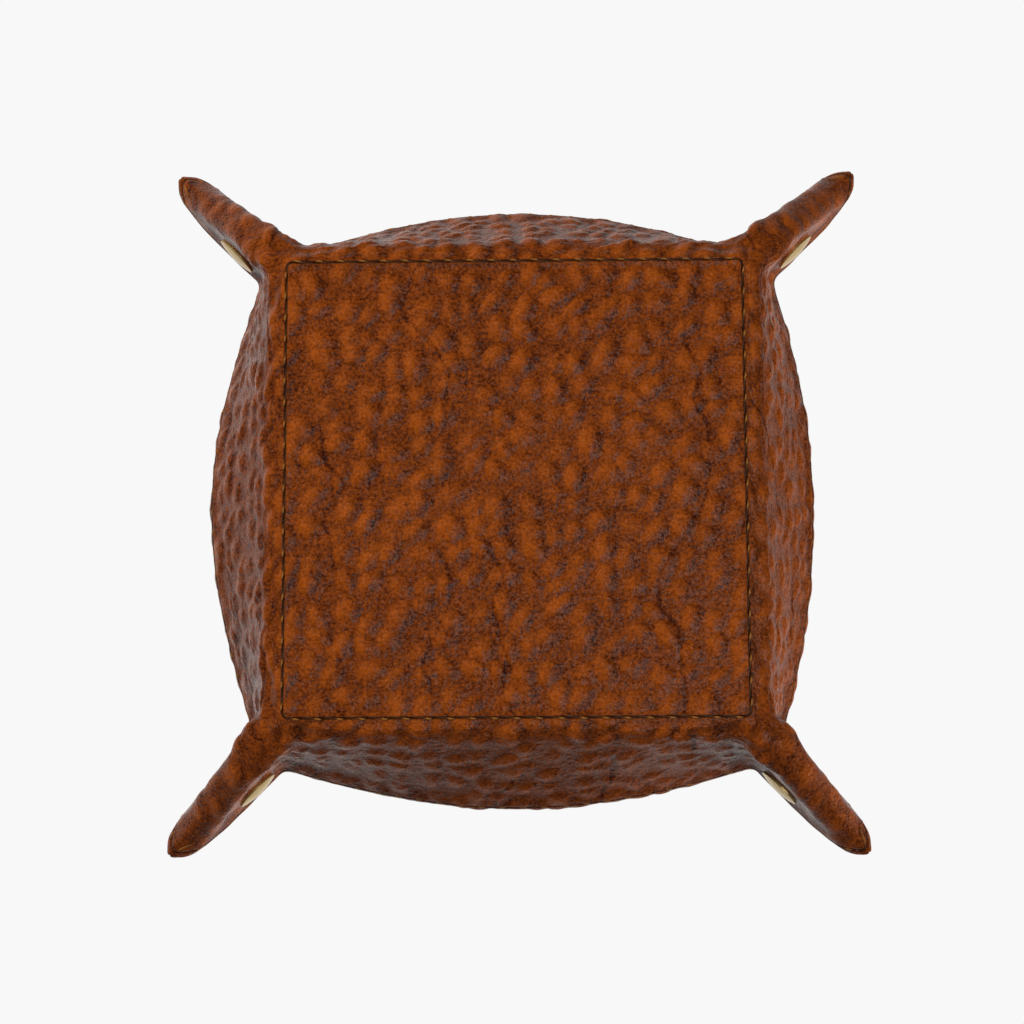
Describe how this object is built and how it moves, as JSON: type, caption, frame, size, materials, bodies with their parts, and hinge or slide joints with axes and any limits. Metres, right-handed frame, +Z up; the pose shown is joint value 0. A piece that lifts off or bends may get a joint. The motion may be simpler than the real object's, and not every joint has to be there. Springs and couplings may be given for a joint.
{
  "type": "valet tray",
  "caption": "Square lined leather valet tray with soft leaning walls and corners pinched into ears by brass press studs; unsnapped, it opens out flat.",
  "frame": {"origin": "middle of the base's underside", "axes": "+Z up, out of the tray's open side; +X and +Y square to the walls"},
  "size_m": [0.1694, 0.1694, 0.0383],
  "materials": {
    "hide": "pebbled brown hide",
    "lining": "smooth brown lining",
    "board": "grey bookbinding board",
    "thread": "waxed brown thread",
    "brass": "polished brass"
  },
  "bodies": {
    "base": {"base_leather": "hide", "base_board": "board", "base_lining": "lining", "base_seam_thread": "thread", "base_seam_bobbin_thread": "thread"},
    "east_wall": {"east_wall_leather": "hide", "east_wall_lining": "lining", "east_rim_thread": "thread"},
    "north_wall": {"north_wall_leather": "hide", "north_wall_lining": "lining", "north_rim_thread": "thread"},
    "west_wall": {"west_wall_leather": "hide", "west_wall_lining": "lining", "west_rim_thread": "thread"},
    "south_wall": {"south_wall_leather": "hide", "south_wall_lining": "lining", "south_rim_thread": "thread"},
    "northeast_ear_east": {"northeast_ear_east_leather": "hide", "northeast_ear_east_lining": "lining", "northeast_ear_east_thread": "thread", "northeast_snap_stud": "brass", "northeast_snap_post": "brass"},
    "northeast_ear_north": {"northeast_ear_north_leather": "hide", "northeast_ear_north_lining": "lining", "northeast_ear_north_thread": "thread", "northeast_snap_cap": "brass", "northeast_snap_socket": "brass"},
    "northwest_ear_north": {"northwest_ear_north_leather": "hide", "northwest_ear_north_lining": "lining", "northwest_ear_north_thread": "thread", "northwest_snap_cap": "brass", "northwest_snap_socket": "brass"},
    "northwest_ear_west": {"northwest_ear_west_leather": "hide", "northwest_ear_west_lining": "lining", "northwest_ear_west_thread": "thread", "northwest_snap_stud": "brass", "northwest_snap_post": "brass"},
    "southwest_ear_west": {"southwest_ear_west_leather": "hide", "southwest_ear_west_lining": "lining", "southwest_ear_west_thread": "thread", "southwest_snap_cap": "brass", "southwest_snap_socket": "brass"},
    "southwest_ear_south": {"southwest_ear_south_leather": "hide", "southwest_ear_south_lining": "lining", "southwest_ear_south_thread": "thread", "southwest_snap_stud": "brass", "southwest_snap_post": "brass"},
    "southeast_ear_south": {"southeast_ear_south_leather": "hide", "southeast_ear_south_lining": "lining", "southeast_ear_south_thread": "thread", "southeast_snap_stud": "brass", "southeast_snap_post": "brass"},
    "southeast_ear_east": {"southeast_ear_east_leather": "hide", "southeast_ear_east_lining": "lining", "southeast_ear_east_thread": "thread", "southeast_snap_cap": "brass", "southeast_snap_socket": "brass"}
  },
  "joints": [
    {"name": "east_wall_fold", "type": "hinge", "parent": "base", "child": "east_wall", "pos_m": [0.059, 0, 0.00143], "axis": [0, 1, 0], "range_deg": [0, 62]},
    {"name": "north_wall_fold", "type": "hinge", "parent": "base", "child": "north_wall", "pos_m": [0, 0.059, 0.00143], "axis": [-1, 0, 0], "range_deg": [0, 62]},
    {"name": "west_wall_fold", "type": "hinge", "parent": "base", "child": "west_wall", "pos_m": [-0.059, 0, 0.00143], "axis": [0, -1, 0], "range_deg": [0, 62]},
    {"name": "south_wall_fold", "type": "hinge", "parent": "base", "child": "south_wall", "pos_m": [0, -0.059, 0.00143], "axis": [1, 0, 0], "range_deg": [0, 62]},
    {"name": "northeast_ear_east_crease", "type": "hinge", "parent": "east_wall", "child": "northeast_ear_east", "pos_m": [0.059, 0.05451, 0.00143], "axis": [0.1653, 0.1653, 0.9723], "range_deg": [0, 34.1]},
    {"name": "northeast_ear_north_crease", "type": "hinge", "parent": "north_wall", "child": "northeast_ear_north", "pos_m": [0.05451, 0.059, 0.00143], "axis": [-0.1653, -0.1653, -0.9723], "range_deg": [0, 34.1]},
    {"name": "northwest_ear_north_crease", "type": "hinge", "parent": "north_wall", "child": "northwest_ear_north", "pos_m": [-0.05451, 0.059, 0.00143], "axis": [-0.1653, 0.1653, 0.9723], "range_deg": [0, 34.1]},
    {"name": "northwest_ear_west_crease", "type": "hinge", "parent": "west_wall", "child": "northwest_ear_west", "pos_m": [-0.059, 0.05451, 0.00143], "axis": [0.1653, -0.1653, -0.9723], "range_deg": [0, 34.1]},
    {"name": "southwest_ear_west_crease", "type": "hinge", "parent": "west_wall", "child": "southwest_ear_west", "pos_m": [-0.059, -0.05451, 0.00143], "axis": [-0.1653, -0.1653, 0.9723], "range_deg": [0, 34.1]},
    {"name": "southwest_ear_south_crease", "type": "hinge", "parent": "south_wall", "child": "southwest_ear_south", "pos_m": [-0.05451, -0.059, 0.00143], "axis": [0.1653, 0.1653, -0.9723], "range_deg": [0, 34.1]},
    {"name": "southeast_ear_south_crease", "type": "hinge", "parent": "south_wall", "child": "southeast_ear_south", "pos_m": [0.05451, -0.059, 0.00143], "axis": [0.1653, -0.1653, 0.9723], "range_deg": [0, 34.1]},
    {"name": "southeast_ear_east_crease", "type": "hinge", "parent": "east_wall", "child": "southeast_ear_east", "pos_m": [0.059, -0.05451, 0.00143], "axis": [-0.1653, 0.1653, -0.9723], "range_deg": [0, 34.1]}
  ],
  "couplings": [
    {"joint": "north_wall_fold", "follows": "east_wall_fold", "ratio": 1},
    {"joint": "west_wall_fold", "follows": "east_wall_fold", "ratio": 1},
    {"joint": "south_wall_fold", "follows": "east_wall_fold", "ratio": 1},
    {"joint": "northeast_ear_east_crease", "follows": "east_wall_fold", "ratio": 0.55},
    {"joint": "northeast_ear_north_crease", "follows": "east_wall_fold", "ratio": 0.55},
    {"joint": "northwest_ear_north_crease", "follows": "east_wall_fold", "ratio": 0.55},
    {"joint": "northwest_ear_west_crease", "follows": "east_wall_fold", "ratio": 0.55},
    {"joint": "southwest_ear_west_crease", "follows": "east_wall_fold", "ratio": 0.55},
    {"joint": "southwest_ear_south_crease", "follows": "east_wall_fold", "ratio": 0.55},
    {"joint": "southeast_ear_south_crease", "follows": "east_wall_fold", "ratio": 0.55},
    {"joint": "southeast_ear_east_crease", "follows": "east_wall_fold", "ratio": 0.55}
  ]
}
